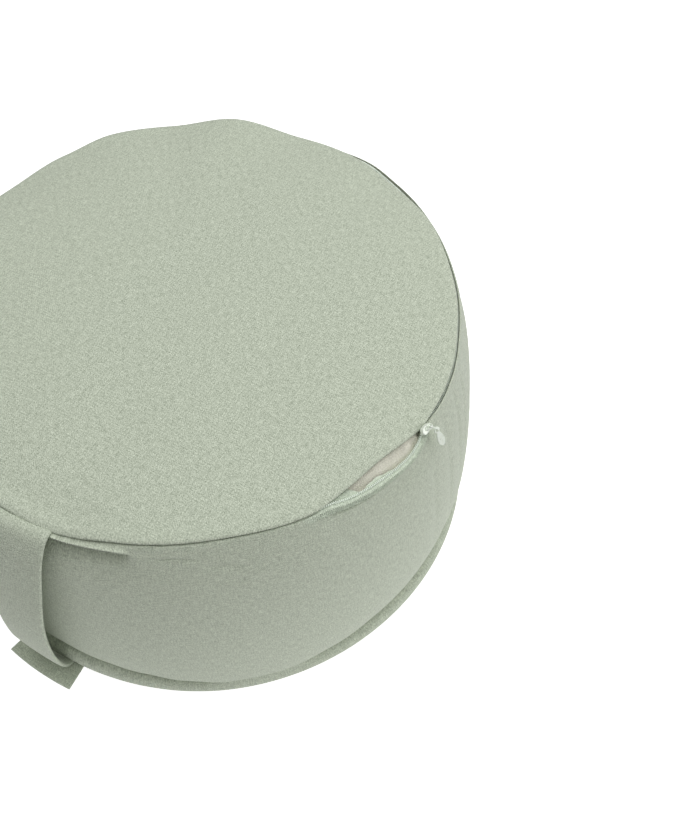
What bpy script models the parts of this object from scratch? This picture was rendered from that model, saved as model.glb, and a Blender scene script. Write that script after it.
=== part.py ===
"""Round meditation cushion: a filled inner cushion in a zipped canvas cover with a carrying strap.

Metres, +Z up. The origin is the centre of the underside, on the floor, and -Y is the strap's side.
Azimuths are degrees, counted anticlockwise from +X as seen from above.
"""

import math
from collections import namedtuple

import bmesh
import bpy
from mathutils import Matrix, Vector

MM = 0.001

# Driving sizes
TOP_RADIUS = 165.0 * MM  # ring of the seam between the top panel and the side band
SEAM_HEIGHT = 175.9 * MM  # height of that seam above the floor
CROWN = 9.0 * MM  # rise of the top panel's middle over its seam
BOTTOM_RADIUS = 178.0 * MM  # ring of the bottom seam, which lies on the floor
CANVAS = 2.0 * MM  # the cover's cloth with its inner finish
STRAP_WEB = 2.4 * MM  # canvas folded in four
GAP = 0.3 * MM  # clearance between pieces that touch
CASING_SLACK = 0.7 * MM  # the inner cushion inside its cover
ZIP_ROOM = 2.0 * MM  # how far its shoulder gives way behind the open zip

# Carrying strap and its foot tab, by azimuth of their middle
STRAP_WIDTH = 34.0 * MM
STRAP_TOP_AZIMUTH = -86.9
STRAP_FOOT_AZIMUTH = -93.9
TAB_WIDTH = 48.5 * MM
TAB_REACH = 18.0 * MM
TAB_THICK = 2.0 * MM

# Zip, which is pulled open between these azimuths along the top seam
OPEN_START = -28.2
OPEN_END = -5.2
LIP_DROP = 8.6 * MM  # how far the band's edge slumps where the opening is widest
LIP_OUT = 5.0 * MM
LIP_PANEL_IN = 4.6 * MM  # how far the panel's edge is pulled straight
LIP_REACH = 45.0 * MM  # depth of band that the slump draws on
LIP_FLARE = 17.0 * MM  # depth of band that leans out
LIP_ROUND = 0.8  # under 1 makes the opening fuller than a sine
LIP_LATE = 1.45  # over 1 brings its widest place nearer the slider
COIL_RADIUS = 0.65 * MM
TAPE_THICK = 1.0 * MM

# Tuck of loose band cloth under the top seam, at both sides of the strap
TUCK_START = -91.0
TUCK_END = -66.0
TUCK_EASE = 3.0  # degrees over which the tuck runs out
TUCK_LEVEL = -82.0  # from here on its lip drops away from the seam

# Zip slider, and the link and drop that hang on it
SLIDER_AZIMUTH = -4.4
SLIDER_LENGTH = 8.4 * MM
SLIDER_WIDTH = 5.2 * MM
SLIDER_THICK = 2.2 * MM
SLIDER_LEAN = 38.0  # degrees that its face looks up from level
SLIDER_OFF = 0.8 * MM  # between its back and the seam
BRIDGE_SPAN = 4.8 * MM
BRIDGE_RISE = 2.6 * MM
BRIDGE_WIRE = 0.5 * MM  # radius
BRIDGE_AHEAD = 1.2 * MM  # of the middle of the slider
LINK_LENGTH = 7.4 * MM
LINK_WIDTH = 4.4 * MM
LINK_WIRE = 0.45 * MM  # radius
LINK_FALL = 43.0  # degrees below level
LINK_SWING = 47.0  # degrees round from straight out, away from the opening
EYE_RADIUS = 1.95 * MM
EYE_HOLE = 1.15 * MM  # radius
DROP_LENGTH = 14.5 * MM
DROP_WIDTH = 4.9 * MM
DROP_THICK = 0.9 * MM
DROP_SWING = 11.0  # degrees off the plumb line, away from the opening
DROP_LEAN = 5.0  # degrees off it, out along the band

SIDE_STEP = 5.0  # degrees between the sections of the cover
FINE_STEP = 2.0  # and through the opening and the tuck

SeamRow = namedtuple("SeamRow", "azimuth outward lift")
SEAM_ROWS = [  # where the sewn edge leaves a true ring, in mm
    SeamRow(-93, -0.4, 0.4),
    SeamRow(-81, 0.5, -0.6),
    SeamRow(-68, 0.1, 0.0),
    SeamRow(-51, -1.1, 1.2),
    SeamRow(-32, 0.6, -0.6),
    SeamRow(-17, 0.0, 0.0),
    SeamRow(-2, 1.5, -1.8),
    SeamRow(10, 0.6, -0.6),
    SeamRow(23, -0.9, 0.4),
    SeamRow(37, -1.5, 0.2),
    SeamRow(57, 0.0, 0.2),
    SeamRow(68, -0.7, -0.5),
    SeamRow(77, 1.5, 1.2),
    SeamRow(96, -0.8, -0.9),
    SeamRow(112, 2.2, 3.2),
    SeamRow(126, -0.2, -0.5),
    SeamRow(142, 0.8, 1.0),
    SeamRow(154, -1.0, -1.5),
    SeamRow(168, -2.5, -3.2),
    SeamRow(190, -0.6, -0.4),
    SeamRow(208, 0.9, 0.8),
    SeamRow(232, -0.8, 0.5),
    SeamRow(250, 0.4, -0.6),
]

FoldRow = namedtuple("FoldRow", "azimuth depth rise")
FOLD_ROWS = [  # the slack fold above the floor: share of its full depth, and its rise in mm
    FoldRow(-97, 1.0, 4.0),
    FoldRow(-80, 1.0, 2.0),
    FoldRow(-66, 0.45, 0.0),
    FoldRow(-55, 0.15, 0.0),
    FoldRow(-43, 0.45, 0.0),
    FoldRow(-32, 1.0, 1.0),
    FoldRow(-6, 1.0, 2.0),
    FoldRow(20, 0.55, 1.0),
    FoldRow(52, 0.9, 3.0),
    FoldRow(88, 0.3, 0.0),
    FoldRow(118, 0.8, 2.5),
    FoldRow(160, 0.4, 0.5),
    FoldRow(196, 1.0, 3.0),
    FoldRow(232, 0.6, 1.0),
]

BandRow = namedtuple("BandRow", "height radius fold_in tuck_in tuck_rise")
BAND_ROWS = [  # outer face of the side band from the bottom seam up, in mm
    BandRow(2.9, 178.2, 0.0, 0.0, 0.0),
    BandRow(5.2, 178.9, 0.4, 0.0, 0.0),
    BandRow(8.4, 179.0, 4.4, 0.0, 0.0),
    BandRow(11.6, 179.4, 9.2, 0.0, 0.0),
    BandRow(13.6, 179.7, 8.4, 0.0, 0.0),
    BandRow(18.0, 180.4, 2.6, 0.0, 0.0),
    BandRow(25.0, 181.1, 0.1, 0.0, 0.0),
    BandRow(38.0, 181.6, 0.0, 0.0, 0.0),
    BandRow(60.0, 181.5, 0.0, 0.0, 0.0),
    BandRow(84.0, 180.5, 0.0, 0.0, 0.0),
    BandRow(108.0, 178.6, 0.0, 0.0, 0.0),
    BandRow(130.0, 176.2, 0.0, 0.0, 0.0),
    BandRow(147.0, 173.5, 0.0, 0.0, 0.0),
    BandRow(157.0, 171.1, 0.0, 0.0, 0.6),
    BandRow(163.6, 169.3, 0.0, 1.6, 2.4),
    BandRow(166.8, 168.2, 0.0, 3.1, 4.2),
    BandRow(168.9, 167.5, 0.0, -0.8, 3.4),
    BandRow(173.2, 165.7, 0.0, 0.0, 0.3),
]

PanelRow = namedtuple("PanelRow", "radius rise")
TOP_ROWS = [  # outer face of the top panel: share of the seam's radius, share of the crown
    PanelRow(1.002, -0.18),
    PanelRow(0.991, 0.04),
    PanelRow(0.960, 0.19),
    PanelRow(0.880, 0.39),
    PanelRow(0.730, 0.65),
    PanelRow(0.520, 0.86),
    PanelRow(0.270, 0.97),
    PanelRow(0.0, 1.0),
]

CasingRow = namedtuple("CasingRow", "height radius")
CASING_LOW_ROWS = [  # lower edge of the inner cushion, from the middle of its underside, in mm
    CasingRow(2.35, 0.0),
    CasingRow(2.35, 128.0),
    CasingRow(4.2, 150.0),
    CasingRow(9.0, 160.0),
    CasingRow(17.0, 165.6),
    CasingRow(27.0, 172.4),
]
CASING_SIDE_HEIGHTS = [42.0, 64.0, 88.0, 110.0, 128.0, 140.0]
CASING_SHOULDER_ROWS = [  # its shoulder under the top seam, in mm
    CasingRow(150.0, 168.6),
    CasingRow(157.0, 166.6),
    CasingRow(164.5, 163.6),
    CasingRow(169.8, 159.0),
    CasingRow(172.9, 152.0),
]

StrapRow = namedtuple("StrapRow", "height radius")
STRAP_ROWS = [  # outer face of the strap from its foot up to the seam, in mm
    StrapRow(3.0, 179.8),
    StrapRow(3.6, 183.0),
    StrapRow(7.6, 185.8),
    StrapRow(16.4, 188.9),
    StrapRow(28.0, 191.2),
    StrapRow(44.0, 193.4),
    StrapRow(64.0, 194.7),
    StrapRow(86.0, 194.8),
    StrapRow(108.0, 192.7),
    StrapRow(132.0, 187.8),
    StrapRow(150.0, 183.2),
    StrapRow(160.0, 180.0),
    StrapRow(167.5, 176.3),
    StrapRow(172.8, 172.7),
    StrapRow(175.5, 169.8),
    StrapRow(176.3, 167.3),
]

Finish = namedtuple("Finish", "name colour roughness metallic")
CANVAS_FINISH = Finish("sage_canvas", (0.45, 0.50, 0.40), 0.9, 0.0)
CASING_FINISH = Finish("raw_calico", (0.68, 0.64, 0.55), 0.92, 0.0)
TAPE_FINISH = Finish("zip_tape", (0.52, 0.62, 0.52), 0.8, 0.0)
METAL_FINISH = Finish("lacquered_zinc", (0.62, 0.68, 0.62), 0.35, 0.6)


def ease(share):
    """0 to 1 with level ends."""
    share = min(1.0, max(0.0, share))
    return share * share * (3.0 - 2.0 * share)


def turn(azimuth, start):
    """The azimuth brought into the full turn that begins at start."""
    return start + (azimuth - start) % 360.0


def around(rows, azimuth, column):
    """A column of a table of azimuths, eased from row to row round the whole turn."""
    azimuth = turn(azimuth, rows[0].azimuth)
    ends = rows[1:] + [rows[0]._replace(azimuth=rows[0].azimuth + 360)]
    for before, after in zip(rows, ends):
        if azimuth <= after.azimuth:
            share = ease((azimuth - before.azimuth) / (after.azimuth - before.azimuth))
            first = getattr(before, column)
            return first + (getattr(after, column) - first) * share
    return getattr(rows[0], column)


def placement(origin, along, face):
    """Placement with its X along one direction and its Z nearly along another."""
    z = (face - along * face.dot(along)).normalized()
    y = z.cross(along)
    return Matrix.Translation(origin) @ Matrix((along, y, z)).transposed().to_4x4()


def at(azimuth, radius, height):
    """The point at an azimuth, a distance from the axis and a height."""
    angle = math.radians(azimuth)
    return Vector((radius * math.cos(angle), radius * math.sin(angle), height))


def seam_outward(azimuth):
    return around(SEAM_ROWS, azimuth, "outward") * MM


def seam_lift(azimuth):
    return around(SEAM_ROWS, azimuth, "lift") * MM


def opening(azimuth):
    """How far the zip gapes at an azimuth, from 0, closed, to 1."""
    share = (turn(azimuth, -180.0) - OPEN_START) / (OPEN_END - OPEN_START)
    if not 0.0 < share < 1.0:
        return 0.0
    return math.sin(math.pi * share**LIP_LATE) ** LIP_ROUND


def tuck(azimuth):
    """Depth of the tuck beside the strap, from 0 to 1."""
    azimuth = turn(azimuth, -180.0)
    return ease((azimuth - TUCK_START) / TUCK_EASE) * ease((TUCK_END - azimuth) / TUCK_EASE)


def tuck_height(azimuth):
    """How close the tuck's lip is to the seam: 1 behind the strap, and 0 at its far end."""
    azimuth = turn(azimuth, -180.0)
    return min(1.0, max(0.0, (TUCK_END - azimuth) / (TUCK_END - TUCK_LEVEL))) * tuck(azimuth)


def slack(azimuth, height):
    """Soft unevenness of the band, largest at mid height."""
    angle = math.radians(azimuth)
    swell = math.sin(3 * angle + 0.6) + 0.6 * math.sin(7 * angle + 2.1) + 0.4 * math.sin(11 * angle)
    return 0.5 * MM * swell * math.sin(math.pi * min(1.0, height / SEAM_HEIGHT))


def band_point(azimuth, row):
    """A point of the side band's outer face, in a row of BAND_ROWS."""
    height, radius = row.height * MM, row.radius * MM
    fold = around(FOLD_ROWS, azimuth, "depth")
    radius -= row.fold_in * MM * fold + row.tuck_in * MM * tuck(azimuth)
    height += around(FOLD_ROWS, azimuth, "rise") * MM * fold * min(1.0, row.fold_in / 4.0)
    height += row.tuck_rise * MM * tuck_height(azimuth)
    near_seam = (row.height * MM / SEAM_HEIGHT) ** 2
    radius += seam_outward(azimuth) * near_seam + slack(azimuth, height)
    height += seam_lift(azimuth) * near_seam
    slump = ease((height - SEAM_HEIGHT + LIP_REACH) / LIP_REACH)
    flare = ease((height - SEAM_HEIGHT + LIP_FLARE) / LIP_FLARE)
    gape = opening(azimuth)
    return at(azimuth, radius + LIP_OUT * gape * flare, height - LIP_DROP * gape * slump)


def top_point(azimuth, row):
    """A point of the top panel's outer face, in a row of TOP_ROWS."""
    near_seam = row.radius**4
    radius = TOP_RADIUS * row.radius + seam_outward(azimuth) * near_seam
    radius -= LIP_PANEL_IN * opening(azimuth) * near_seam**2
    return at(azimuth, radius, SEAM_HEIGHT + CROWN * row.rise + seam_lift(azimuth) * near_seam)


def band_radius(azimuth, height):
    """Radius of the band's outer face at a height between the fold and the tuck."""
    for low, high in zip(BAND_ROWS, BAND_ROWS[1:]):
        if height <= high.height * MM:
            share = (height / MM - low.height) / (high.height - low.height)
            return band_point(azimuth, low).xy.length * (1 - share) + (
                band_point(azimuth, high).xy.length * share
            )
    return band_point(azimuth, BAND_ROWS[-1]).xy.length


def casing_rows():
    """Rows of the inner cushion from the middle of its underside to the middle of its top.

    Each is a function of azimuth: the sides and the top follow the cover, a cloth's thickness inside.
    """
    rows = []
    for low in CASING_LOW_ROWS:
        rows.append(lambda azimuth, row=low: at(azimuth, row.radius * MM, row.height * MM))
    for height in CASING_SIDE_HEIGHTS:
        rows.append(lambda azimuth, z=height * MM: at(
            azimuth, band_radius(azimuth, z) - CANVAS - CASING_SLACK, z))
    for shoulder in CASING_SHOULDER_ROWS:
        rows.append(lambda azimuth, row=shoulder: at(
            azimuth,
            row.radius * MM + seam_outward(azimuth) - ZIP_ROOM * opening(azimuth),
            row.height * MM + seam_lift(azimuth)))
    for inside in TOP_ROWS[4:]:
        rows.append(lambda azimuth, row=inside: top_point(azimuth, row)
                    - Vector((0, 0, CANVAS + CASING_SLACK)))
    return rows


def cover_azimuths():
    """Azimuths of the cover's sections, closer together where the seam is busy."""
    busy = [(TUCK_START - 2, TUCK_END + 3), (OPEN_START - 2, OPEN_END + 3)]
    angles = []
    azimuth = busy[0][0]
    while azimuth < busy[0][0] + 360 - SIDE_STEP / 2:
        angles.append(azimuth)
        fine = any(start <= azimuth < end for start, end in busy)
        azimuth += FINE_STEP if fine else SIDE_STEP
    return angles


def coat(finish):
    """The finish as a material, made once."""
    made = bpy.data.materials.get(finish.name)
    if made is None:
        made = bpy.data.materials.new(finish.name)
        made.use_nodes = True
        shader = made.node_tree.nodes["Principled BSDF"]
        shader.inputs["Base Color"].default_value = (*finish.colour, 1.0)
        shader.inputs["Roughness"].default_value = finish.roughness
        shader.inputs["Metallic"].default_value = finish.metallic
    return made


def link(name, data, finish, collection):
    """A new object of this mesh or curve, in its finish, in the cushion's collection."""
    piece = bpy.data.objects.new(name, data)
    piece.data.materials.append(coat(finish))
    collection.objects.link(piece)
    return piece


def draped_grid(name, columns, rows, point, finish, collection, closed=False):
    """A grid whose corners are laid where point(column, row) says.

    With closed set, the last column is sewn to the first, and rows that shrink to a point are merged.
    """
    across = len(columns) + (1 if closed else 0)
    form = bmesh.new()
    bmesh.ops.create_grid(form, x_segments=across - 1, y_segments=len(rows) - 1, size=0.5)
    for corner in form.verts:
        column = round((corner.co.x + 0.5) * (across - 1)) % len(columns)
        row = round((corner.co.y + 0.5) * (len(rows) - 1))
        corner.co = point(columns[column], rows[row])
    bmesh.ops.remove_doubles(form, verts=form.verts, dist=0.001 * MM)
    mesh = bpy.data.meshes.new(name)
    form.to_mesh(mesh)
    form.free()
    mesh.shade_smooth()
    return link(name, mesh, finish, collection)


def thicken(piece, thickness):
    """Gives a sheet its thickness, on the inner side of the face that was laid out."""
    solid = piece.modifiers.new("thickness", "SOLIDIFY")
    solid.thickness = thickness
    solid.offset = -1.0
    solid.use_even_offset = True


def make_cover(collection):
    """Top panel, side band and bottom panel, each a sheet sewn to the next along a ring."""
    azimuths = cover_azimuths()
    top = draped_grid("top_panel", azimuths, TOP_ROWS, top_point, CANVAS_FINISH, collection, True)
    thicken(top, CANVAS)
    band = draped_grid("side_band", azimuths, BAND_ROWS, band_point, CANVAS_FINISH, collection, True)
    thicken(band, CANVAS)
    rings = [0.0, 0.6 * BOTTOM_RADIUS, 0.95 * BOTTOM_RADIUS, BOTTOM_RADIUS]
    heights = {rings[-1]: 0.6 * MM}  # the sewn rim is lifted a little off the floor
    bottom = draped_grid(
        "bottom_panel", azimuths, rings,
        lambda azimuth, radius: at(azimuth, radius, heights.get(radius, 0.0)),
        CANVAS_FINISH, collection, True)
    thicken(bottom, CANVAS)


def make_casing(collection):
    """The filled inner cushion, one solid, which shows through the open zip."""
    azimuths = [6.0 * step for step in range(60)]
    draped_grid(
        "inner_cushion", azimuths, casing_rows(), lambda azimuth, row: row(azimuth),
        CASING_FINISH, collection, True)


def make_strap(collection):
    """The carrying strap, bowed away from the band between its two sewn ends."""
    span = STRAP_ROWS[-1].height - STRAP_ROWS[0].height

    def place(across, row):
        up = (row.height - STRAP_ROWS[0].height) / span
        middle = STRAP_FOOT_AZIMUTH + (STRAP_TOP_AZIMUTH - STRAP_FOOT_AZIMUTH) * up
        turned = math.degrees(across * STRAP_WIDTH / (row.radius * MM))
        return at(middle + turned, row.radius * MM, row.height * MM)

    shares = [-0.5, -0.25, 0.0, 0.25, 0.5]
    strap = draped_grid("handle_strap", shares, STRAP_ROWS, place, CANVAS_FINISH, collection)
    thicken(strap, STRAP_WEB)


def make_tab(collection):
    """The flat tab of doubled canvas that is sewn into the bottom seam under the strap."""
    start = BOTTOM_RADIUS + 0.5 * MM
    half_turn = math.degrees(TAB_WIDTH / 2 / (start + TAB_REACH / 2))
    columns = [STRAP_FOOT_AZIMUTH + half_turn * step / 4 for step in range(-4, 5)]
    reaches = [start + TAB_REACH, start + TAB_REACH / 2, start]
    tab = draped_grid(
        "foot_tab", columns, reaches,
        lambda azimuth, radius: at(azimuth, radius, TAB_THICK),
        CANVAS_FINISH, collection)
    thicken(tab, TAB_THICK)


def opening_azimuths(steps):
    """Even azimuths along the opening, short of its ends where there is no room for the zip."""
    first, last = OPEN_START + 3.4, OPEN_END - 1.2
    return [first + (last - first) * step / steps for step in range(steps + 1)]


def make_zip_tape(collection):
    """The lower tape, a strip that lies inside the band's edge and shows above it."""

    def place(azimuth, row):
        edge = band_point(azimuth, row)
        inward = at(azimuth, CANVAS + 0.2 * MM + GAP, 0.0)
        if row is not BAND_ROWS[-1]:
            return edge - inward
        wave = 0.5 + 0.5 * math.sin(math.radians(26.0 * (azimuth - OPEN_START)))
        crest = Vector((0, 0, (opening(azimuth) * (1.2 + 1.6 * wave) - 1.2) * MM))
        return edge - inward * 1.2 + crest

    tape = draped_grid(
        "zip_tape", opening_azimuths(16), BAND_ROWS[-4:], place, TAPE_FINISH, collection)
    thicken(tape, TAPE_THICK)


def tube(name, points, radius, finish, collection, closed=False):
    """A round bead along a line of points, with capped ends or closed into a ring."""
    curve = bpy.data.curves.new(name, "CURVE")
    curve.dimensions = "3D"
    curve.bevel_depth = radius
    curve.bevel_resolution = 2
    curve.use_fill_caps = not closed
    spline = curve.splines.new("POLY")
    spline.use_cyclic_u = closed
    spline.points.add(len(points) - 1)
    for knot, point in zip(spline.points, points):
        knot.co = (*point, 1.0)
    return link(name, curve, finish, collection)


def make_zip_coil(collection):
    """The row of teeth along the band's edge of the opening, as one bead."""
    line = []
    for azimuth in opening_azimuths(14):
        edge = band_point(azimuth, BAND_ROWS[-1])
        line.append(edge - at(azimuth, 0.9 * MM, -COIL_RADIUS - GAP))
    tube("zip_coil", line, COIL_RADIUS, TAPE_FINISH, collection)


def toward(along, out, up):
    """Unit direction at the slider, from its shares along the seam, outward and up."""
    outward = at(SLIDER_AZIMUTH, 1.0, 0.0)
    direction = Vector((-outward.y, outward.x, 0.0)) * along + outward * out + Vector((0, 0, up))
    return direction.normalized()


def slider_frame():
    """Placement of the slider: X runs along the seam away from the opening, Z looks out of its face."""
    lean = math.radians(SLIDER_LEAN)
    face = toward(0.0, math.cos(lean), math.sin(lean))
    seam = band_point(SLIDER_AZIMUTH, BAND_ROWS[-1])
    return placement(seam + face * (SLIDER_THICK / 2 + SLIDER_OFF), toward(1, 0, 0), face)


def make_slider(collection, helpers):
    """The slider: a body that narrows away from the opening, with a bridge for the link."""
    form = bmesh.new()
    size = (SLIDER_LENGTH, SLIDER_WIDTH, SLIDER_THICK)
    bmesh.ops.create_cube(form, size=1.0, matrix=Matrix.Diagonal((*size, 1.0)))
    for corner in form.verts:
        if corner.co.x > 0:
            corner.co.y *= 0.62
    bmesh.ops.bevel(
        form, geom=form.edges[:], offset=0.8 * MM, segments=2, profile=0.5, affect="EDGES")
    mesh = bpy.data.meshes.new("zip_slider")
    form.to_mesh(mesh)
    form.free()
    body = link("zip_slider", mesh, METAL_FINISH, collection)
    body.matrix_world = slider_frame()

    arch = []
    sink = 0.4 * MM  # the bridge's feet start inside the body
    for step in range(9):
        angle = math.pi * step / 8
        rise = (BRIDGE_RISE + sink) * math.sin(angle) - sink
        along = BRIDGE_AHEAD - BRIDGE_SPAN / 2 * math.cos(angle)
        arch.append(Vector((along, 0.0, SLIDER_THICK / 2 + rise)))
    wire = tube("bridge_wire", arch, BRIDGE_WIRE, METAL_FINISH, helpers)
    bpy.context.view_layer.update()
    evaluated = wire.evaluated_get(bpy.context.evaluated_depsgraph_get())
    bridge_mesh = bpy.data.meshes.new_from_object(evaluated)
    bpy.data.objects.remove(wire)
    welded = bmesh.new()
    welded.from_mesh(bridge_mesh)
    bmesh.ops.remove_doubles(welded, verts=welded.verts, dist=0.01 * MM)
    welded.to_mesh(bridge_mesh)
    welded.free()
    bridge = link("slider_bridge", bridge_mesh, METAL_FINISH, helpers)
    bridge.matrix_world = slider_frame()
    bridge.hide_render = True
    bridge.display_type = "WIRE"
    joined = body.modifiers.new("bridge", "BOOLEAN")
    joined.operation = "UNION"
    joined.object = bridge


def link_frame():
    """Placement of the link's centre: X points along the link, away from the bridge."""
    fall, swing = math.radians(LINK_FALL), math.radians(LINK_SWING)
    reach = toward(
        math.cos(fall) * math.sin(swing), math.cos(fall) * math.cos(swing), -math.sin(fall))
    arch_top = slider_frame() @ Vector((BRIDGE_AHEAD, 0, SLIDER_THICK / 2 + BRIDGE_RISE))
    centre = arch_top + reach * (LINK_LENGTH / 2 - 2 * LINK_WIRE - BRIDGE_WIRE - GAP)
    return placement(centre, reach, toward(1, 0, 0))


def link_point(angle):
    """A point of the middle line of the link's wire, in its own plane."""
    length = LINK_LENGTH / 2 - LINK_WIRE
    width = LINK_WIDTH / 2 - LINK_WIRE
    return Vector((length * math.cos(angle), width * math.sin(angle), 0.0))


def make_link(collection):
    """The oval wire link between the bridge and the drop."""
    frame = link_frame()
    line = [frame @ link_point(2 * math.pi * step / 20) for step in range(20)]
    tube("zip_link", line, LINK_WIRE, METAL_FINISH, collection, closed=True)


def drop_outline():
    """Outline of the drop in its own plane: its round eye at the origin, and its length along +X."""
    eye = []
    for step in range(9):
        angle = math.radians(70 + 27.5 * step)
        eye.append((EYE_RADIUS * math.cos(angle), EYE_RADIUS * math.sin(angle)))
    side = []
    length = DROP_LENGTH - 2 * EYE_RADIUS
    for step in range(10):
        share = step / 10
        swell = math.sin(math.pi * share**1.25) ** 0.62
        narrow = 1.0 * MM
        width = narrow + (DROP_WIDTH / 2 - narrow) * swell
        if share > 0.6:
            width = DROP_WIDTH / 2 * math.sqrt(1 - ((share - 0.6) / 0.4) ** 2)
        side.append((EYE_RADIUS + length * share, width))
    tip = [(EYE_RADIUS + length, 0.0)]
    return eye + [(x, -y) for x, y in side] + tip + side[::-1]


def make_pull(collection):
    """The drop, which hangs by its eye from the link's lowest point."""
    curve = bpy.data.curves.new("zip_pull", "CURVE")
    curve.dimensions = "2D"
    curve.fill_mode = "BOTH"
    curve.extrude = DROP_THICK / 2
    hole = []
    for step in range(10):
        angle = math.radians(36 * step)
        hole.append((EYE_HOLE * math.cos(angle), EYE_HOLE * math.sin(angle)))
    for outline in (drop_outline(), hole):
        spline = curve.splines.new("POLY")
        spline.use_cyclic_u = True
        spline.points.add(len(outline) - 1)
        for knot, (x, y) in zip(spline.points, outline):
            knot.co = (x, y, 0.0, 1.0)
    pull = link("zip_pull", curve, METAL_FINISH, collection)
    frame = link_frame()
    ring = [frame @ link_point(math.radians(step)) for step in range(0, 360, 3)]
    low = min(ring, key=lambda point: point.z)
    down = toward(
        math.tan(math.radians(DROP_SWING)), math.tan(math.radians(DROP_LEAN)), -1.0)
    eye = low + down * (EYE_HOLE - LINK_WIRE - GAP)
    pull.matrix_world = placement(eye, down, toward(0, 1, 0))


def build():
    for leftover in list(bpy.data.objects):
        bpy.data.objects.remove(leftover)
    collection = bpy.data.collections.new("meditation_cushion")
    helpers = bpy.data.collections.new("cutters")
    bpy.context.scene.collection.children.link(collection)
    bpy.context.scene.collection.children.link(helpers)
    make_cover(collection)
    make_casing(collection)
    make_strap(collection)
    make_tab(collection)
    make_zip_tape(collection)
    make_zip_coil(collection)
    make_slider(collection, helpers)
    make_link(collection)
    make_pull(collection)


build()
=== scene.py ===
"""Scene for a round meditation cushion: its canvas cover, carrying strap, open zip and inner cushion.

Metres, +Z up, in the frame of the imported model. Azimuths are degrees, counted anticlockwise from +X
as seen from above, and the strap is at -Y. Each flat cloth carries its threads in a UV map in metres.
"""

import math
from collections import namedtuple

import bmesh
import bpy
from mathutils import Matrix, Vector, noise


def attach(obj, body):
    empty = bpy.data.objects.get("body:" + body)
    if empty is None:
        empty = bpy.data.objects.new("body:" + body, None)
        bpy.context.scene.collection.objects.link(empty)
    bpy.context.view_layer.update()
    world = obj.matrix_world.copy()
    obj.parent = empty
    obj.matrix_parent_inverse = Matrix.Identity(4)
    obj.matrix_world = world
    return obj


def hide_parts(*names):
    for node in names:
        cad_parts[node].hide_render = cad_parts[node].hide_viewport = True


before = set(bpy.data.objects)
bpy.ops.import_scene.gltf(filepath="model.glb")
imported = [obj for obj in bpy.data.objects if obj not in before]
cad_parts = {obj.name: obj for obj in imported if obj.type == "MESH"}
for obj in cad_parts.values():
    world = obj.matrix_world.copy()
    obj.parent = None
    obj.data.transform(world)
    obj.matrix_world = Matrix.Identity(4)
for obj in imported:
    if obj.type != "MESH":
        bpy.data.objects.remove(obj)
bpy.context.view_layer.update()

MM = 0.001

# Cover, as in the part
TOP_RADIUS = 165.0
SEAM_HEIGHT = 175.9
BOTTOM_RADIUS = 178.0
CANVAS = 2.0
CASING_GAP = 0.7  # between the cover and the inner cushion
CREASE_REACH = 90.0  # along the band, past which a crease is not felt

# Strap and foot tab, as in the part
STRAP_WIDTH = 34.0
STRAP_WEB = 2.4
STRAP_TOP_AZIMUTH = -86.9
STRAP_FOOT_AZIMUTH = -93.9
TAB_WIDTH = 48.5
TAB_REACH = 18.0
TAB_THICK = 2.0

# Open zip, as in the part
LIP_DROP = 8.6
LIP_OUT = 5.0
LIP_REACH = 45.0
LIP_FLARE = 17.0
TEETH_PITCH = 1.1  # of the coil; the hem's ribs follow it
COIL_WIRE = 0.36
COIL_RADIUS = 0.5
COIL_START, COIL_END = -31.0, -5.0
CHAIN_START, CHAIN_END = -3.0, 86.0
HEM_START, HEM_END = -38.0, -1.5
FLAP_START, FLAP_END = -30.5, -7.0

OpenRow = namedtuple("OpenRow", "azimuth gape panel_in band_in")
OPEN_ROWS = [  # share of the band edge's slump, and how far both edges are pulled in
    OpenRow(-34.0, 0.0, 0.0, 0.0),
    OpenRow(-31.5, 0.0, 0.4, 0.4),
    OpenRow(-29.0, 0.09, 1.35, 0.6),
    OpenRow(-26.0, 0.30, 2.4, 0.0),
    OpenRow(-22.0, 0.54, 3.35, 0.0),
    OpenRow(-18.3, 0.69, 4.0, 0.0),
    OpenRow(-15.0, 0.78, 4.1, 0.0),
    OpenRow(-12.0, 0.81, 3.6, 0.0),
    OpenRow(-9.0, 0.74, 2.8, 0.0),
    OpenRow(-6.5, 0.50, 1.9, 0.0),
    OpenRow(-4.4, 0.18, 1.2, 0.2),
    OpenRow(-2.0, 0.02, 0.9, 0.8),
    OpenRow(1.0, 0.0, 0.4, 0.4),
    OpenRow(6.0, 0.0, 0.0, 0.0),
]

# Where the closed zip gapes a little on the far side
FAR_GAPE_START = 54.0
FAR_GAPE_END = 90.0
FAR_GAPE_IN = 1.6
FAR_GAPE_OUT = 2.3

# Tuck of loose band cloth beside the strap, as in the part
TUCK_START = -91.0
TUCK_END = -66.0
TUCK_EASE = 3.0
TUCK_LEVEL = -82.0

# Slider, link and drop, as in the part
SLIDER_AZIMUTH = -4.4
SLIDER_LENGTH = 8.4
SLIDER_WIDTH = 5.2
SLIDER_THICK = 2.2
SLIDER_LEAN = 38.0
SLIDER_OFF = 0.8
BRIDGE_SPAN = 4.8
BRIDGE_RISE = 2.6
BRIDGE_WIRE = 0.5
BRIDGE_AHEAD = 1.2
LINK_LENGTH = 7.4
LINK_WIDTH = 4.4
LINK_WIRE = 0.45
LINK_FALL = 43.0
LINK_SWING = 47.0
EYE_RADIUS = 1.95
EYE_HOLE = 1.15
DROP_LENGTH = 14.5
DROP_WIDTH = 4.9
DROP_THICK = 0.9
DROP_NECK = 1.0  # half its width under the eye
DROP_ROUND = 0.22  # of its rims
DROP_SWING = 3.0
DROP_LEAN = 24.0
GAP = 0.3

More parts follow.
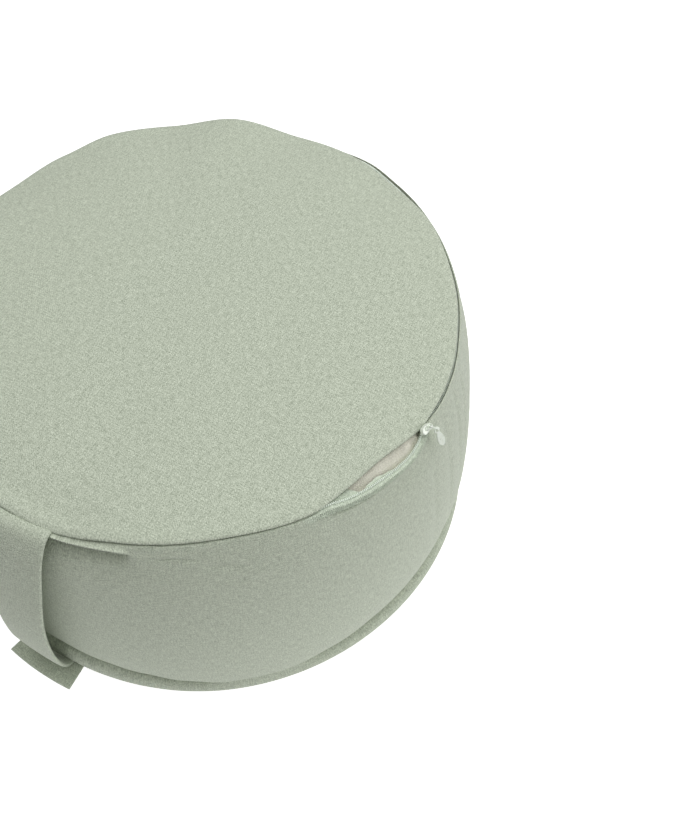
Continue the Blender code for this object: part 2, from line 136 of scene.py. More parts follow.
SeamRow = namedtuple("SeamRow", "azimuth outward lift lip")
SEAM_ROWS = [  # where the sewn edge leaves a true ring, and how far the band's edge stands off it
    SeamRow(-93, -0.4, 0.4, 0.0),
    SeamRow(-81, 0.5, -0.6, 0.0),
    SeamRow(-68, -0.7, 1.3, 0.0),
    SeamRow(-51, -1.1, 1.2, 0.0),
    SeamRow(-32, 0.6, -0.6, 0.0),
    SeamRow(-17, 0.0, 0.0, 0.0),
    SeamRow(-4, 1.5, -1.8, 0.0),
    SeamRow(4, 0.9, -1.4, 1.0),
    SeamRow(10, 0.6, -0.6, 1.2),
    SeamRow(23, -0.9, 0.4, 1.4),
    SeamRow(37, -1.0, 0.4, 1.9),
    SeamRow(57, 0.8, 0.6, 1.5),
    SeamRow(68, 0.6, 0.2, 1.8),
    SeamRow(77, 1.7, 1.2, 1.4),
    SeamRow(96, 0.0, -0.2, 0.2),
    SeamRow(112, 2.8, 3.6, 0.0),
    SeamRow(126, 0.5, 0.0, 0.0),
    SeamRow(142, 1.4, 1.5, 0.0),
    SeamRow(154, -0.3, -0.9, 0.0),
    SeamRow(168, -1.6, -2.6, 0.0),
    SeamRow(190, 0.2, 0.2, 0.0),
    SeamRow(208, 0.9, 0.8, 0.0),
    SeamRow(232, -0.8, 0.5, 0.0),
    SeamRow(250, 0.4, -0.6, 0.0),
]

FoldRow = namedtuple("FoldRow", "azimuth depth rise")
FOLD_ROWS = [  # the slack fold above the floor: share of its full depth, and its rise
    FoldRow(-97, 1.0, 13.0),
    FoldRow(-90, 1.0, 11.5),
    FoldRow(-82, 1.0, 7.5),
    FoldRow(-72, 0.85, 4.5),
    FoldRow(-63, 0.45, 2.0),
    FoldRow(-55, 0.1, 0.5),
    FoldRow(-41, 0.08, 0.5),
    FoldRow(-31, 0.55, 1.0),
    FoldRow(-20, 1.0, 2.0),
    FoldRow(4, 1.0, 2.0),
    FoldRow(20, 0.55, 1.0),
    FoldRow(52, 0.9, 3.0),
    FoldRow(88, 0.3, 0.0),
    FoldRow(118, 0.8, 2.5),
    FoldRow(160, 0.4, 0.5),
    FoldRow(196, 1.0, 3.0),
    FoldRow(232, 0.6, 2.0),
]

BandRow = namedtuple("BandRow", "height radius fold_in fold_up tuck_in tuck_up tuck_rise")
BAND_ROWS = [  # outer face of the side band from the bottom seam up
    BandRow(1.5, 178.2, 0.0, 0.0, 0.0, 0.0, 0.0),
    BandRow(2.9, 180.0, 0.0, 0.0, 0.0, 0.0, 0.0),
    BandRow(4.5, 180.9, 0.0, 0.0, 0.0, 0.0, 0.0),
    BandRow(6.5, 180.9, 0.6, 0.0, 0.0, 0.0, 0.0),
    BandRow(8.5, 180.5, 2.0, 0.1, 0.0, 0.0, 0.0),
    BandRow(10.0, 180.1, 4.5, -0.1, 0.0, 0.0, 0.0),
    BandRow(11.2, 179.9, 7.9, -0.3, 0.0, 0.0, 0.0),
    BandRow(12.2, 179.8, 10.8, -0.8, 0.0, 0.0, 0.0),
    BandRow(13.0, 179.8, 11.4, -1.2, 0.0, 0.0, 0.0),
    BandRow(13.8, 179.8, 9.9, -2.0, 0.0, 0.0, 0.0),
    BandRow(14.8, 179.9, 7.2, -3.4, 0.0, 0.0, 0.0),
    BandRow(16.0, 180.1, 4.8, -5.0, 0.0, 0.0, 0.0),
    BandRow(17.5, 180.3, 4.1, -4.6, 0.0, 0.0, 0.0),
    BandRow(19.5, 180.6, 3.5, -3.6, 0.0, 0.0, 0.0),
    BandRow(22.5, 180.9, 2.9, -2.4, 0.0, 0.0, 0.0),
    BandRow(26.5, 181.2, 2.3, -1.2, 0.0, 0.0, 0.0),
    BandRow(31.0, 181.4, 1.9, -0.5, 0.0, 0.0, 0.0),
    BandRow(38.0, 181.6, 1.1, 0.0, 0.0, 0.0, 0.0),
    BandRow(60.0, 181.5, 0.3, 0.0, 0.0, 0.0, 0.0),
    BandRow(84.0, 180.5, 0.0, 0.0, 0.0, 0.0, 0.0),
    BandRow(108.0, 178.6, 0.0, 0.0, 0.0, 0.0, 0.0),
    BandRow(130.0, 176.2, 0.0, 0.0, 0.0, 0.0, 0.0),
    BandRow(147.0, 173.5, 0.0, 0.0, 0.0, 0.0, 0.0),
    BandRow(157.0, 171.1, 0.0, 0.0, 1.0, 0.1, 0.4),
    BandRow(161.5, 169.9, 0.0, 0.0, 4.6, 2.2, 1.6),
    BandRow(164.5, 169.0, 0.0, 0.0, 8.6, 3.8, 2.6),
    BandRow(166.0, 168.5, 0.0, 0.0, 9.6, 4.6, 2.8),
    BandRow(167.1, 168.2, 0.0, 0.0, 7.6, 5.0, 2.6),
    BandRow(167.9, 167.9, 0.0, 0.0, -2.1, 3.4, 2.4),
    BandRow(169.0, 167.5, 0.0, 0.0, -1.7, 2.7, 1.9),
    BandRow(170.6, 166.9, 0.0, 0.0, -0.6, 1.6, 1.1),
    BandRow(171.9, 166.4, 0.0, 0.0, -0.2, 0.6, 0.4),
    BandRow(172.7, 165.95, 0.0, 0.0, 0.0, 0.0, 0.1),
    BandRow(172.95, 165.4, 0.0, 0.0, 0.0, 0.0, 0.0),
]
BAND_TURNED_IN = [0.5, 1.2, 2.5, 4.5, 7.0]  # reach of its seam allowance behind the edge
BASE_TURNED_IN = [9.0, 5.0, 2.0]

PanelRow = namedtuple("PanelRow", "inset rise")
PANEL_ROWS = [  # outer face of the top panel: in from the ring of the seam, and up from it
    PanelRow(8.0, -2.1),
    PanelRow(3.5, -2.1),
    PanelRow(1.2, -2.05),
    PanelRow(0.2, -1.9),
    PanelRow(-0.25, -1.5),
    PanelRow(-0.34, -1.0),
    PanelRow(-0.1, -0.45),
    PanelRow(0.5, 0.0),
    PanelRow(1.5, 0.38),
    PanelRow(3.2, 0.95),
    PanelRow(6.6, 1.71),
    PanelRow(12.0, 2.6),
    PanelRow(19.8, 3.51),
    PanelRow(31.0, 4.75),
    PanelRow(44.55, 5.85),
    PanelRow(60.0, 6.85),
    PanelRow(79.2, 7.74),
    PanelRow(100.0, 8.32),
    PanelRow(120.5, 8.73),
    PanelRow(145.0, 8.94),
    PanelRow(165.0, 9.0),
]

RollRow = namedtuple("RollRow", "azimuth roll")
ROLL_ROWS = [  # how far the seam allowance lifts the panel's edge, as a share
    RollRow(-135, 0.3),
    RollRow(-112, 1.0),
    RollRow(-84, 1.0),
    RollRow(-62, 0.25),
    RollRow(-30, 0.1),
    RollRow(20, 0.3),
    RollRow(90, 0.3),
    RollRow(180, 0.4),
]

Dimple = namedtuple("Dimple", "across along turned width length depth")
PANEL_DIMPLES = [  # soft hollows of the top panel, placed from its middle, turned from +X
    Dimple(-70, 84, 128, 12, 34, 0.75),
    Dimple(-30, 100, 118, 14, 36, 0.8),
    Dimple(21, -7, 40, 7, 9, 0.28),
    Dimple(44, -29, 20, 7, 10, 0.25),
    Dimple(6, -146, 5, 9, 26, 0.55),
    Dimple(106, -104, 42, 4, 20, 0.3),
    Dimple(122, -86, -20, 2.0, 11, 0.35),
    Dimple(131, -80, -5, 2.2, 9, 0.25),
    Dimple(150, 0, -32, 2.2, 9, 0.4),
    Dimple(120, 62, 60, 16, 30, 0.4),
    Dimple(-100, -60, 100, 20, 34, 0.5),
    Dimple(-20, -90, 15, 16, 40, 0.35),
]

Crease = namedtuple("Crease", "azimuth height to_azimuth to_height width depth")
BAND_CREASES = [  # fine lines pulled in the side band, out where the depth is under nothing
    Crease(-53.5, 158.5, -45.5, 152.5, 1.7, 1.1),
    Crease(-51.0, 146.0, -46.5, 142.5, 1.8, 0.7),
    Crease(-62.0, 166.5, -54.5, 163.8, 1.1, 0.9),
    Crease(-66.5, 167.6, -55.0, 168.6, 1.2, -0.35),
    Crease(-67.4, 168.0, -65.6, 167.4, 2.0, -0.8),
    Crease(-84.5, 118.0, -79.0, 110.0, 0.9, 0.3),
    Crease(-30.0, 158.0, -22.0, 110.0, 3.5, 0.8),
    Crease(-87.2, 0.0, -87.6, 14.0, 0.7, 0.5),
    Crease(-92.0, 9.0, -81.0, 5.5, 0.5, 0.4),
    Crease(-4.5, 160.0, -3.0, 40.0, 3.2, 0.7),
    Crease(2.0, 160.0, 3.5, 50.0, 2.6, 0.9),
    Crease(8.0, 169.0, 9.0, 60.0, 2.4, 1.0),
    Crease(13.5, 170.0, 13.0, 70.0, 2.2, 1.1),
    Crease(18.5, 170.0, 17.5, 70.0, 2.4, 1.0),
    Crease(24.5, 168.0, 24.0, 80.0, 2.6, 0.9),
    Crease(95.0, 160.0, 101.0, 90.0, 5.0, 0.5),
    Crease(150.0, 165.0, 146.0, 110.0, 5.0, 0.6),
    Crease(205.0, 160.0, 213.0, 100.0, 5.0, 0.5),
]

CasingRow = namedtuple("CasingRow", "height radius")
CASING_LOW_ROWS = [
    CasingRow(2.35, 0.0),
    CasingRow(2.35, 60.0),
    CasingRow(2.35, 110.0),
    CasingRow(2.6, 135.0),
    CasingRow(4.2, 150.0),
    CasingRow(9.0, 160.0),
    CasingRow(17.0, 165.6),
    CasingRow(27.0, 172.4),
]
CASING_SIDE_HEIGHTS = [42.0, 64.0, 88.0, 110.0, 128.0, 140.0]
CASING_SHOULDER_ROWS = [
    CasingRow(150.0, 168.6),
    CasingRow(157.0, 166.6),
    CasingRow(164.5, 163.6),
    CasingRow(169.8, 159.0),
    CasingRow(172.9, 152.0),
]

StrapRow = namedtuple("StrapRow", "height radius")
STRAP_ROWS = [  # outer face of the strap from its foot up to the seam
    StrapRow(2.7, 177.6),
    StrapRow(3.0, 179.8),
    StrapRow(3.8, 183.0),
    StrapRow(7.6, 185.8),
    StrapRow(16.4, 188.9),
    StrapRow(28.0, 191.2),
    StrapRow(44.0, 193.4),
    StrapRow(64.0, 194.7),
    StrapRow(86.0, 194.8),
    StrapRow(108.0, 192.7),
    StrapRow(132.0, 187.8),
    StrapRow(150.0, 183.2),
    StrapRow(160.0, 180.0),
    StrapRow(167.5, 176.3),
    StrapRow(172.8, 172.7),
    StrapRow(174.8, 170.0),
    StrapRow(175.4, 167.7),
    StrapRow(175.0, 165.7),
    StrapRow(174.3, 164.5),
]


# Shapes

def ease(share):
    """0 to 1 with level ends."""
    share = min(1.0, max(0.0, share))
    return share * share * (3.0 - 2.0 * share)


def hump(distance, width):
    """1 at no distance, and soon nothing past the width."""
    return math.exp(-((distance / width) ** 2))


def turn(azimuth, start):
    """The azimuth brought into the full turn that begins at start."""
    return start + (azimuth - start) % 360.0


def around(rows, azimuth, column):
    """A column of a table of azimuths, eased from row to row round the whole turn."""
    azimuth = turn(azimuth, rows[0].azimuth)
    ends = rows[1:] + [rows[0]._replace(azimuth=rows[0].azimuth + 360)]
    for before, after in zip(rows, ends):
        if azimuth <= after.azimuth:
            share = ease((azimuth - before.azimuth) / (after.azimuth - before.azimuth))
            first = getattr(before, column)
            return first + (getattr(after, column) - first) * share
    return getattr(rows[0], column)


def at(azimuth, radius, height):
    """The point at an azimuth, a distance from the axis and a height, all in mm."""
    angle = math.radians(azimuth)
    return Vector((radius * math.cos(angle), radius * math.sin(angle), height)) * MM


def finer(rows, spacing):
    """More rows on a smooth curve through a table's rows, a spacing apart at most."""
    last = len(rows) - 1
    steps = [math.hypot(b[0] - a[0], b[1] - a[1]) for a, b in zip(rows, rows[1:])]

    def slope(here, value):
        if here == 0:
            return (value(1) - value(0)) / steps[0]
        if here == last:
            return (value(last) - value(last - 1)) / steps[-1]
        behind, ahead = steps[here - 1], steps[here]
        back = (value(here) - value(here - 1)) / behind
        on = (value(here + 1) - value(here)) / ahead
        return (back * ahead + on * behind) / (behind + ahead)

    made = []
    for first in range(last):
        parts = max(1, math.ceil(steps[first] / spacing))
        for part in range(parts):
            share = part / parts
            bend = share * share * (3.0 - 2.0 * share)
            leave = share * (1.0 - share) ** 2 * steps[first]
            arrive = share * share * (share - 1.0) * steps[first]
            values = []
            for column in range(len(rows[0])):
                def value(row, column=column):
                    return rows[row][column]
                values.append(
                    value(first) + (value(first + 1) - value(first)) * bend
                    + slope(first, value) * leave + slope(first + 1, value) * arrive)
            made.append(type(rows[0])(*values))
    return made + [rows[-1]]


OPEN_CURVE = finer(OPEN_ROWS, 0.4)


def open_zip(azimuth, column):
    """A column of the open zip's table at an azimuth."""
    azimuth = turn(azimuth, -180.0)
    for before, after in zip(OPEN_CURVE, OPEN_CURVE[1:]):
        if before.azimuth <= azimuth <= after.azimuth:
            share = (azimuth - before.azimuth) / (after.azimuth - before.azimuth)
            first = getattr(before, column)
            return max(0.0, first + (getattr(after, column) - first) * share)
    return 0.0


def opening(azimuth):
    """How far the zip gapes at an azimuth, from 0, closed, to nearly 1."""
    return open_zip(azimuth, "gape")


def far_gape(azimuth):
    """How far the closed zip stands open on the far side, from 0 to 1."""
    share = (turn(azimuth, -180.0) - FAR_GAPE_START) / (FAR_GAPE_END - FAR_GAPE_START)
    if not 0.0 < share < 1.0:
        return 0.0
    return math.sin(math.pi * share) ** 1.2


def tuck(azimuth):
    """Depth of the tuck beside the strap, from 0 to 1."""
    azimuth = turn(azimuth, -180.0)
    return ease((azimuth - TUCK_START) / TUCK_EASE) * ease((TUCK_END - azimuth) / TUCK_EASE)


def tuck_height(azimuth):
    """How close the tuck's lip is to the seam: 1 behind the strap, and 0 at its far end."""
    azimuth = turn(azimuth, -180.0)
    return min(1.0, max(0.0, (TUCK_END - azimuth) / (TUCK_END - TUCK_LEVEL))) * tuck(azimuth)


def slack(azimuth, height):
    """Soft unevenness of the band, largest at mid height."""
    angle = math.radians(azimuth)
    swell = math.sin(3 * angle + 0.6) + 0.6 * math.sin(7 * angle + 2.1) + 0.4 * math.sin(11 * angle)
    return 0.5 * swell * math.sin(math.pi * min(1.0, height / SEAM_HEIGHT))


def crease_depth(azimuth, height):
    """How far the band's fine creases pull it in at a place on it."""
    depth = 0.0
    for line in BAND_CREASES:
        away = (turn(azimuth, line.azimuth - 180.0) - line.azimuth) * math.pi / 180 * BOTTOM_RADIUS
        if abs(away) > CREASE_REACH:
            continue
        run = Vector((
            (line.to_azimuth - line.azimuth) * math.pi / 180 * BOTTOM_RADIUS,
            line.to_height - line.height))
        spot = Vector((away, height - line.height))
        share = min(1.0, max(0.0, spot.dot(run) / run.length_squared))
        gone = (spot - run * share).length
        if gone < 3 * line.width:
            taper = math.sin(math.pi * min(0.92, max(0.08, share))) ** 0.6
            depth += line.depth * taper * hump(gone, line.width)
    return depth


def band_point(azimuth, row):
    """A point of the side band's outer face, in a row of BAND_ROWS or between two."""
    height, radius = row.height, row.radius
    fold = around(FOLD_ROWS, azimuth, "depth")
    deep = tuck(azimuth)
    radius -= row.fold_in * fold + row.tuck_in * deep + 1.2 * row.tuck_rise * tuck_height(azimuth)
    raised = ease(row.height / 11.0) * ease((75.0 - row.height) / 60.0)
    height += row.fold_up * fold + around(FOLD_ROWS, azimuth, "rise") * raised
    height += row.tuck_rise * tuck_height(azimuth) + row.tuck_up * deep
    near_seam = (row.height / SEAM_HEIGHT) ** 2
    radius += around(SEAM_ROWS, azimuth, "outward") * near_seam + slack(azimuth, height)
    height += around(SEAM_ROWS, azimuth, "lift") * near_seam
    slump = ease((height - SEAM_HEIGHT + LIP_REACH) / LIP_REACH)
    flare = ease((height - SEAM_HEIGHT + LIP_FLARE) / LIP_FLARE)
    gape = opening(azimuth)
    radius += (FAR_GAPE_OUT * far_gape(azimuth) - open_zip(azimuth, "band_in")) * flare
    lip = around(SEAM_ROWS, azimuth, "lip") * flare
    radius += lip - crease_depth(azimuth, height)
    radius -= 1.3 * ease(4.0 * gape) * hump(row.height - 168.0, 0.8)
    height -= 0.7 * lip
    return at(azimuth, radius + LIP_OUT * gape * flare, height - LIP_DROP * gape * slump)


def panel_point(azimuth, row):
    """A point of the top panel's outer face, in a row of PANEL_ROWS or between two."""
    share = (TOP_RADIUS - row.inset) / TOP_RADIUS
    near_seam = share**4
    radius = TOP_RADIUS - row.inset + around(SEAM_ROWS, azimuth, "outward") * near_seam
    radius -= open_zip(azimuth, "panel_in") * near_seam**2
    radius -= FAR_GAPE_IN * far_gape(azimuth) * near_seam**2
    height = SEAM_HEIGHT + row.rise + around(SEAM_ROWS, azimuth, "lift") * near_seam
    if row.rise > 0:
        place = at(azimuth, radius, 0.0) / MM
        roll = around(ROLL_ROWS, azimuth, "roll")
        height += roll * (0.6 * hump(row.inset - 3.5, 3.0) - 1.1 * hump(row.inset - 10.0, 6.0))
        for hollow in PANEL_DIMPLES:
            turned = math.radians(hollow.turned)
            off = place.xy - Vector((hollow.across, hollow.along))
            along = (off.x * math.cos(turned) + off.y * math.sin(turned)) / hollow.length
            across = (off.y * math.cos(turned) - off.x * math.sin(turned)) / hollow.width
            height -= hollow.depth * hump(math.hypot(along, across), 1.0)
        inland = ease(row.inset / 12.0)
        height += 0.5 * inland * noise.noise(place * 0.022)
        height += 0.14 * inland * noise.noise(place * 0.07)
    return at(azimuth, radius, height)


def band_radius(azimuth, height):
    """Radius of the band's outer face at a height between the fold and the tuck, in mm."""
    for low, high in zip(BAND_ROWS, BAND_ROWS[1:]):
        if height <= high.height:
            share = (height - low.height) / (high.height - low.height)
            near = band_point(azimuth, low).xy.length * (1 - share)
            return (near + band_point(azimuth, high).xy.length * share) / MM
    return band_point(azimuth, BAND_ROWS[-1]).xy.length / MM


# Making meshes

def weld(form, name):
    """The finished form as an object, with smooth faces that look outward."""
    bmesh.ops.remove_doubles(form, verts=form.verts, dist=0.002 * MM)
    mesh = bpy.data.meshes.new(name)
    form.to_mesh(mesh)
    form.free()
    mesh.shade_smooth()
    piece = bpy.data.objects.new(name, mesh)
    bpy.context.scene.collection.objects.link(piece)
    return piece


def cloth(name, columns, rows, place, thread, closed=False):
    """A grid of cloth whose corners are laid where place(column, row) says.

    thread(column, row) is where the corner is on the flat cloth, in metres. With closed set, the
    last column is sewn to the first, one full turn on.
    """
    if closed:
        columns = columns + [columns[0] + closed]
    form = bmesh.new()
    bmesh.ops.create_grid(form, x_segments=len(columns) - 1, y_segments=len(rows) - 1, size=0.5)
    flat = form.loops.layers.uv.new("thread")
    spots = {}
    for corner in form.verts:
        column = columns[round((corner.co.x + 0.5) * (len(columns) - 1))]
        row = rows[round((corner.co.y + 0.5) * (len(rows) - 1))]
        corner.co = place(column, row)
        spots[corner.index] = thread(column, row)
    for face in form.faces:
        for loop in face.loops:
            loop[flat].uv = spots[loop.vert.index]
    return weld(form, name)


def lengths(points):
    """How far along a line of points each one is."""
    gone = [0.0]
    for before, after in zip(points, points[1:]):
        gone.append(gone[-1] + (after - before).length)
    return gone


def cover_azimuths():
    """Azimuths of the cover's columns, closest together where the seam is busy."""
    azimuths = []
    azimuth = -98.0
    while azimuth < 262.0 - 0.3:
        azimuths.append(azimuth)
        busy = -94.0 <= azimuth < 16.0 or 56.0 <= azimuth < 86.0
        azimuth += 0.4 if busy else 1.0
    return azimuths


def turned_in(edge, azimuth, reach):
    """A point of a seam allowance behind an edge, which hangs down where the zip is open."""
    lip = around(SEAM_ROWS, azimuth, "lip")
    parted = max(opening(azimuth), 0.5 * far_gape(azimuth), 0.4 * lip)
    fall = math.radians(4.0 + 78.0 * ease(3.0 * parted))
    return edge - at(azimuth, reach * math.cos(fall), reach * math.sin(fall))


def make_band():
    """The side band: one strip of canvas with its slack fold, its tuck and both hems."""
    rows = finer(BAND_ROWS[:24], 1.9)[:-1] + finer(BAND_ROWS[23:], 0.8)
    profile = lengths([at(0.0, row.radius, row.height) for row in rows])
    marks = [("under", reach, -reach * MM) for reach in BASE_TURNED_IN]
    marks += [("face", row, gone) for row, gone in zip(rows, profile)]
    marks += [("hem", reach, profile[-1] + reach * MM) for reach in BAND_TURNED_IN]

    def place(azimuth, mark):
        kind, value, gone = mark
        if kind == "under":
            return at(azimuth, BOTTOM_RADIUS - value, 1.2)
        if kind == "face":
            return band_point(azimuth, value)
        return turned_in(band_point(azimuth, rows[-1]), azimuth, value)

    return cloth(
        "cover_band", cover_azimuths(), marks, place,
        lambda azimuth, mark: (math.radians(azimuth) * 180.0 * MM, mark[2]), closed=360.0)


def make_top():
    """The top panel, a disc whose edge rolls over into the seam."""
    rows = finer(PANEL_ROWS, 2.6)

    def thread(azimuth, row):
        spot = at(azimuth, TOP_RADIUS - row.inset, 0.0)
        return (spot.x, spot.y)

    return cloth("cover_top", cover_azimuths(), rows, panel_point, thread, closed=360.0)


def make_base():
    """The bottom panel, a plain disc whose edge rolls up into the bottom seam."""
    rim = [(0.0, 0.0), (60.0, 0.0), (110.0, 0.0), (145.0, 0.0), (165.0, 0.0), (172.0, 0.05)]
    rim += [(175.5, 0.2), (177.2, 0.45), (177.8, 0.8), (177.5, 1.1), (175.0, 1.2), (170.0, 1.2)]
    return cloth(
        "cover_base", [3.0 * step for step in range(120)], rim,
        lambda azimuth, row: at(azimuth, row[0], row[1]),
        lambda azimuth, row: tuple(at(azimuth, row[0], 0.0).xy), closed=360.0)


def casing_point(azimuth, row):
    """A point of the inner cushion, by the kind of its row."""
    kind, value = row
    if kind == "low":
        return at(azimuth, value.radius, value.height)
    if kind == "side":
        return at(azimuth, band_radius(azimuth, value) - CANVAS - CASING_GAP, value)
    if kind == "shoulder":
        gape = opening(azimuth)
        swell = ease(2.2 * gape)
        radius = value.radius + around(SEAM_ROWS, azimuth, "outward") + 2.6 * gape - 4.5 * tuck(azimuth)
        height = value.height + around(SEAM_ROWS, azimuth, "lift") + swell
        crumple = noise.noise(at(azimuth, radius, height) / MM * 0.16)
        ruck = math.sin(math.radians(azimuth) * 110 + 2.0 * crumple)
        near_slider = hump(azimuth + 6.5, 3.0)
        near_slider *= ease(2.5 * gape)
        radius += 0.4 * gape * crumple + near_slider * (0.6 + 0.3 * ruck)
        height += 0.6 * gape * crumple + near_slider * (1.9 + 0.5 * ruck)
        return at(azimuth, radius, height)
    return panel_point(azimuth, value) - Vector((0, 0, (CANVAS + CASING_GAP) * MM))


def make_casing():
    """The filled inner cushion, whose raw cotton shows through the open zip."""
    rows = [("low", row) for row in finer(CASING_LOW_ROWS, 12.0)]
    rows += [("side", height) for height in CASING_SIDE_HEIGHTS]
    rows += [("shoulder", row) for row in finer(CASING_SHOULDER_ROWS, 0.9)]
    rows += [("top", PanelRow(inset, rise)) for inset, rise in (
        (25.0, 4.1), (44.55, 5.85), (79.2, 7.74), (120.5, 8.73), (165.0, 9.0))]
    azimuths = []
    azimuth = -90.0
    while azimuth < 269.7:
        azimuths.append(azimuth)
        azimuth += 0.3 if -30.0 <= azimuth < -3.0 else 3.0

    def thread(azimuth, row):
        spot = casing_point(azimuth, row)
        if row[0] in ("low", "top"):
            return (spot.x, spot.y)
        return (math.radians(azimuth) * 170.0 * MM, spot.z)

    return cloth("casing", azimuths, rows, casing_point, thread, closed=360.0)


def web_loop(width, thick, edge_steps=5, face_steps=10):
    """Corners round the section of a flat web: across, and out from its inner face, in mm."""
    round_end = thick / 2
    loop = []
    for step in range(face_steps):
        loop.append((-width / 2 + round_end + (width - thick) * step / face_steps, thick))
    for step in range(edge_steps):
        angle = math.pi * step / edge_steps
        loop.append((width / 2 - round_end + round_end * math.sin(angle),
                     round_end + round_end * math.cos(angle)))
    for step in range(face_steps):
        loop.append((width / 2 - round_end - (width - thick) * step / face_steps, 0.0))
    for step in range(edge_steps):
        angle = math.pi * step / edge_steps
        loop.append((-width / 2 + round_end - round_end * math.sin(angle),
                     round_end - round_end * math.cos(angle)))
    return loop


def strap_point(across, out, row, lean):
    """A point of the strap: across it, out from its inner face, by a row of its line."""
    span = STRAP_ROWS[-1].height - STRAP_ROWS[0].height
    up = (row.height - STRAP_ROWS[0].height) / span
    middle = STRAP_FOOT_AZIMUTH + (STRAP_TOP_AZIMUTH - STRAP_FOOT_AZIMUTH) * up
    middle += 0.7 * math.sin(math.pi * up)
    depth = STRAP_WEB - out
    radius = row.radius - depth * math.cos(lean)
    height = row.height - depth * math.sin(lean)
    return at(middle + math.degrees(across / row.radius), radius, height)


def make_strap():
    """The carrying strap: canvas folded into a web, sewn in at both ends."""
    rows = finer(STRAP_ROWS, 1.8)
    line = [Vector((row.radius, row.height)) for row in rows]
    leans = []
    for here in range(len(line)):
        run = line[min(here + 1, len(line) - 1)] - line[max(here - 1, 0)]
        leans.append(math.atan2(run.x, run.y))
    gone = lengths(line)
    loop = web_loop(STRAP_WIDTH, STRAP_WEB)
    edge = lengths([Vector(corner) for corner in loop + loop[:1]])
    marks = list(range(len(rows)))

    def place(step, here):
        across, out = loop[step % len(loop)]
        return strap_point(across, out, rows[here], -leans[here])

    return cloth(
        "strap", list(range(len(loop))), marks, place,
        lambda step, here: (edge[step] * MM, gone[here] * MM), closed=len(loop))


def make_tab():
    """The flat tab of doubled canvas in the bottom seam under the strap."""
    start = BOTTOM_RADIUS - 1.5
    loop = web_loop(TAB_REACH + 2.0, TAB_THICK, face_steps=8)
    edge = lengths([Vector(corner) for corner in loop + loop[:1]])
    half = TAB_WIDTH / 2
    ends = [-half, -half + 0.25, -half + 0.7, -half + 1.4]
    places = ends + [-half + 1.4 + (TAB_WIDTH - 2.8) * step / 24 for step in range(1, 24)]
    places += [-place for place in ends[::-1]]

    def place(step, side):
        across, out = loop[step % len(loop)]
        round_off = math.sqrt(max(0.0, 1.0 - max(0.0, (abs(side) - half + 1.0)) ** 2))
        height = TAB_THICK / 2 + (out - TAB_THICK / 2) * max(0.1, round_off)
        radius = start + TAB_REACH / 2 + 1.0 + across
        azimuth = STRAP_FOOT_AZIMUTH + math.degrees(side / (start + TAB_REACH / 2))
        ripple = 0.25 * math.sin(side * 0.16 + 0.7) * max(0.0, across / TAB_REACH + 0.5)
        return at(azimuth, radius, max(0.0, height + ripple))

    return cloth(
        "tab", list(range(len(loop))), places, place,
        lambda step, side: (side * MM, edge[step] * MM), closed=len(loop))


# Zip

def lip_azimuths(start, end, step):
    """Even azimuths along part of the seam."""
    count = round((end - start) / step)
    return [start + (end - start) * part / count for part in range(count + 1)]


LIP_ROWS = finer(BAND_ROWS[-6:], 0.5)


def lip_spot(azimuth, out, up):
    """A point beside the band's edge: out from the axis and up from it, in mm."""
    return band_point(azimuth, LIP_ROWS[-1]) + at(azimuth, out, up)


OverRow = namedtuple("OverRow", "out up")
OVER_ROWS = [  # the zip's tape over the band's edge and down inside
    OverRow(0.35, 0.2),
    OverRow(-0.2, 0.5),
    OverRow(-0.9, 0.55),
    OverRow(-1.5, 0.2),
    OverRow(-2.0, -0.5),
    OverRow(-2.4, -3.0),
    OverRow(-2.7, -9.0),
]
HEM_PROUD = 0.85  # of the band's face
HEM_RIB = 0.42
HEM_LOW = 168.6  # height of its lower edge on the closed band


def make_zip_hem():
    """The zip's lower tape, folded over the band's edge, with the ribs of its teeth."""
    flange = [row for row in LIP_ROWS if row.height > HEM_LOW]
    marks = [("flange", row) for row in flange] + [("over", row) for row in finer(OVER_ROWS, 0.4)]
    pitch = math.degrees(TEETH_PITCH / TOP_RADIUS)

    def place(azimuth, mark):
        kind, row = mark
        shown = ease((azimuth + 39.0) / 11.0) * ease((HEM_END - azimuth) / 3.5)
        rib = math.cos(2 * math.pi * azimuth / pitch)
        if kind == "over":
            sunk = 1.2 * (1 - shown)
            return lip_spot(azimuth, row.out * (0.3 + 0.7 * shown) - sunk, row.up - sunk)
        start = ease((row.height - HEM_LOW) / 0.7)
        proud = (HEM_PROUD + HEM_RIB * rib) * start * shown - 0.3 * (1 - start) - 0.5 * (1 - shown)
        return band_point(azimuth, row) + at(azimuth, proud, 0.25 * proud)

    spots = {}
    gone = lengths([place(-14.0, mark) for mark in marks])
    for mark, far in zip(marks, gone):
        spots[mark] = far
    return cloth(
        "zip_hem", lip_azimuths(HEM_START, HEM_END, pitch / 4), marks, place,
        lambda azimuth, mark: (math.radians(azimuth) * TOP_RADIUS * MM, spots[mark]))


def trace(curve, points, closed):
    """A line through points, added to a curve."""
    spline = curve.splines.new("POLY")
    spline.use_cyclic_u = closed
    spline.points.add(len(points) - 1)
    for knot, point in zip(spline.points, points):
        knot.co = (*point, 1.0)


def ribbon(name, points, radius, closed=False, resolution=3):
    """A round wire along a line of points."""
    curve = bpy.data.curves.new(name, "CURVE")
    curve.dimensions = "3D"
    curve.bevel_depth = radius
    curve.bevel_resolution = resolution
    curve.use_fill_caps = not closed
    trace(curve, points, closed)
    piece = bpy.data.objects.new(name, curve)
    bpy.context.scene.collection.objects.link(piece)
    return piece


